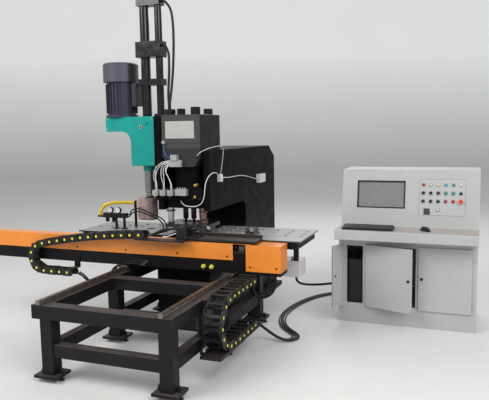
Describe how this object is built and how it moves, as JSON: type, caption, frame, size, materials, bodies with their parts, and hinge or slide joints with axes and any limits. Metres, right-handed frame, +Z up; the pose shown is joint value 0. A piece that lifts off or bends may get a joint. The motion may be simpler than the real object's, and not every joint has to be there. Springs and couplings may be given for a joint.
{
  "type": "cnc plate punching machine",
  "caption": "Press with a C-shaped frame that punches and drills flat plate, moved by clamps on a cross beam, with its drill head, roller-ball tables and a separate operator console.",
  "frame": {"origin": "on the floor below the axis of the middle punch", "axes": "+X along the cross beam towards the console, +Y away from the operator into the throat of the frame, +Z up"},
  "size_m": [4.537, 3.115, 2.905],
  "materials": {
    "black_paint": "satin",
    "charcoal_paint": "satin",
    "orange_paint": "satin",
    "teal_paint": "satin",
    "violet_paint": "satin",
    "console_paint": "satin",
    "white_paint": "satin",
    "table_steel": "ground",
    "steel": "ground",
    "bright_steel": "polished",
    "cast_steel": "as cast",
    "black_plastic": "matt",
    "white_plastic": "matt",
    "red_plastic": "glossy",
    "orange_plastic": "glossy",
    "green_plastic": "glossy",
    "teal_plastic": "glossy",
    "lamp_plastic": "glossy",
    "screen_glass": "glossy",
    "cable_rubber": "matt",
    "hose_plastic": "satin",
    "aluminium": "satin"
  },
  "bodies": {
    "base": {"c_frame": "black_paint", "base_weldment": "black_paint", "levelling_feet": "black_paint", "y_rails": "steel", "y_drive_motor": "black_paint", "y_chain": "black_plastic", "tables": "table_steel", "ball_units": "steel", "die_block": "steel", "head_box": "charcoal_paint", "punch_guide": "black_paint", "pneumatic_valves": "aluminium", "air_lines": "hose_plastic", "drill_casting": "teal_paint", "drill_motor": "violet_paint", "feed_columns": "black_paint", "hydraulic_hoses": "cable_rubber", "air_unit": "black_paint", "junction_boxes": "white_paint", "floor_cable_bundle": "cable_rubber", "console_lead": "cable_rubber", "console_cabinet": "console_paint", "console_housing": "console_paint", "screen": "screen_glass", "button_panel": "console_paint", "indicator_lamps": "lamp_plastic", "computer": "black_plastic", "keyboard_and_mouse": "black_plastic", "chain_tray": "black_paint"},
    "beam": {"x_beam": "black_paint", "beam_cover": "orange_paint", "beam_guides": "steel", "x_chain": "black_plastic", "beam_leads": "cable_rubber"},
    "carriage": {"carriage": "black_paint", "cable_block": "black_paint", "clamp_bodies": "steel"},
    "hold_down": {"hold_down": "steel"},
    "ram": {"punch_ram": "bright_steel"},
    "quill": {"drill_quill": "bright_steel"},
    "spindle": {"drill_spindle": "steel"},
    "drill_foot": {"drill_foot": "cast_steel"},
    "jaw_1": {"clamp_jaw_1": "steel"},
    "jaw_2": {"clamp_jaw_2": "steel"},
    "left_door": {"left_door": "console_paint"},
    "middle_door": {"middle_door": "console_paint"},
    "right_door": {"right_door": "console_paint"},
    "selector_1": {"selector_1": "black_plastic"},
    "selector_2": {"selector_2": "black_plastic"},
    "selector_3": {"selector_3": "black_plastic"},
    "selector_4": {"selector_4": "black_plastic"},
    "selector_5": {"selector_5": "black_plastic"},
    "selector_6": {"selector_6": "black_plastic"},
    "push_button_1": {"push_button_1": "green_plastic"},
    "push_button_2": {"push_button_2": "teal_plastic"},
    "push_button_3": {"push_button_3": "red_plastic"},
    "push_button_4": {"push_button_4": "red_plastic"},
    "push_button_5": {"push_button_5": "white_plastic"},
    "key_switch": {"key_switch": "black_plastic"},
    "emergency_stop": {"emergency_stop": "orange_plastic"}
  },
  "joints": [
    {"name": "y_travel", "type": "slide", "parent": "base", "child": "beam", "axis": [0, 1, 0], "range_m": [-0.75, 0], "deforming": ["y_chain"]},
    {"name": "x_travel", "type": "slide", "parent": "beam", "child": "carriage", "axis": [1, 0, 0], "range_m": [-1.5, 0], "deforming": ["x_chain"]},
    {"name": "hold_down_slide", "type": "slide", "parent": "base", "child": "hold_down", "axis": [0, 0, 1], "range_m": [-0.018, 0]},
    {"name": "punch_stroke", "type": "slide", "parent": "base", "child": "ram", "axis": [0, 0, 1], "range_m": [-0.04, 0]},
    {"name": "quill_feed", "type": "slide", "parent": "base", "child": "quill", "axis": [0, 0, 1], "range_m": [-0.13, 0]},
    {"name": "spindle_turn", "type": "hinge", "parent": "quill", "child": "spindle", "pos_m": [-0.44, 0, 1.1], "axis": [0, 0, 1], "continuous": true},
    {"name": "drill_foot_slide", "type": "slide", "parent": "base", "child": "drill_foot", "axis": [0, 0, 1], "range_m": [-0.07, 0]},
    {"name": "clamp_1", "type": "hinge", "parent": "carriage", "child": "jaw_1", "pos_m": [0.25, -0.215, 0.922], "axis": [1, 0, 0], "range_deg": [-4, 8]},
    {"name": "clamp_2", "type": "hinge", "parent": "carriage", "child": "jaw_2", "pos_m": [0.64, -0.215, 0.922], "axis": [1, 0, 0], "range_deg": [-4, 8]},
    {"name": "left_door_hinge", "type": "hinge", "parent": "base", "child": "left_door", "pos_m": [1.277, 0.452, 0.438], "axis": [0, 0, 1], "range_deg": [-20, 120]},
    {"name": "middle_door_hinge", "type": "hinge", "parent": "base", "child": "middle_door", "pos_m": [1.455, 0.452, 0.438], "axis": [0, 0, 1], "range_deg": [-70, 17]},
    {"name": "right_door_hinge", "type": "hinge", "parent": "base", "child": "right_door", "pos_m": [2.359, 0.452, 0.438], "axis": [0, 0, 1], "range_deg": [0, 110]},
    {"name": "selector_1_turn", "type": "hinge", "parent": "base", "child": "selector_1", "pos_m": [1.931, 0.64414, 1.1692], "axis": [0, -0.9844, 0.1758], "range_deg": [-45, 45]},
    {"name": "selector_2_turn", "type": "hinge", "parent": "base", "child": "selector_2", "pos_m": [1.9933, 0.64414, 1.1692], "axis": [0, -0.9844, 0.1758], "range_deg": [-45, 45]},
    {"name": "selector_3_turn", "type": "hinge", "parent": "base", "child": "selector_3", "pos_m": [2.0556, 0.64414, 1.1692], "axis": [0, -0.9844, 0.1758], "range_deg": [-45, 45]},
    {"name": "selector_4_turn", "type": "hinge", "parent": "base", "child": "selector_4", "pos_m": [1.931, 0.63149, 1.09832], "axis": [0, -0.9844, 0.1758], "range_deg": [-45, 45]},
    {"name": "selector_5_turn", "type": "hinge", "parent": "base", "child": "selector_5", "pos_m": [1.9933, 0.63149, 1.09832], "axis": [0, -0.9844, 0.1758], "range_deg": [-45, 45]},
    {"name": "selector_6_turn", "type": "hinge", "parent": "base", "child": "selector_6", "pos_m": [2.0556, 0.63149, 1.09832], "axis": [0, -0.9844, 0.1758], "range_deg": [-45, 45]},
    {"name": "push_button_1_press", "type": "slide", "parent": "base", "child": "push_button_1", "axis": [0, 0.9844, -0.1758], "range_m": [0, 0.004], "stiffness_N_per_m": 600, "springref_m": -0.003},
    {"name": "push_button_2_press", "type": "slide", "parent": "base", "child": "push_button_2", "axis": [0, 0.9844, -0.1758], "range_m": [0, 0.004], "stiffness_N_per_m": 600, "springref_m": -0.003},
    {"name": "push_button_3_press", "type": "slide", "parent": "base", "child": "push_button_3", "axis": [0, 0.9844, -0.1758], "range_m": [0, 0.004], "stiffness_N_per_m": 600, "springref_m": -0.003},
    {"name": "push_button_4_press", "type": "slide", "parent": "base", "child": "push_button_4", "axis": [0, 0.9844, -0.1758], "range_m": [0, 0.004], "stiffness_N_per_m": 600, "springref_m": -0.003},
    {"name": "push_button_5_press", "type": "slide", "parent": "base", "child": "push_button_5", "axis": [0, 0.9844, -0.1758], "range_m": [0, 0.004], "stiffness_N_per_m": 600, "springref_m": -0.003},
    {"name": "key_switch_turn", "type": "hinge", "parent": "base", "child": "key_switch", "pos_m": [2.2425, 0.64414, 1.1692], "axis": [0, -0.9844, 0.1758], "range_deg": [0, 60]},
    {"name": "emergency_stop_press", "type": "slide", "parent": "base", "child": "emergency_stop", "axis": [0, 0.9844, -0.1758], "range_m": [0, 0.004], "stiffness_N_per_m": 600, "springref_m": -0.003}
  ]
}
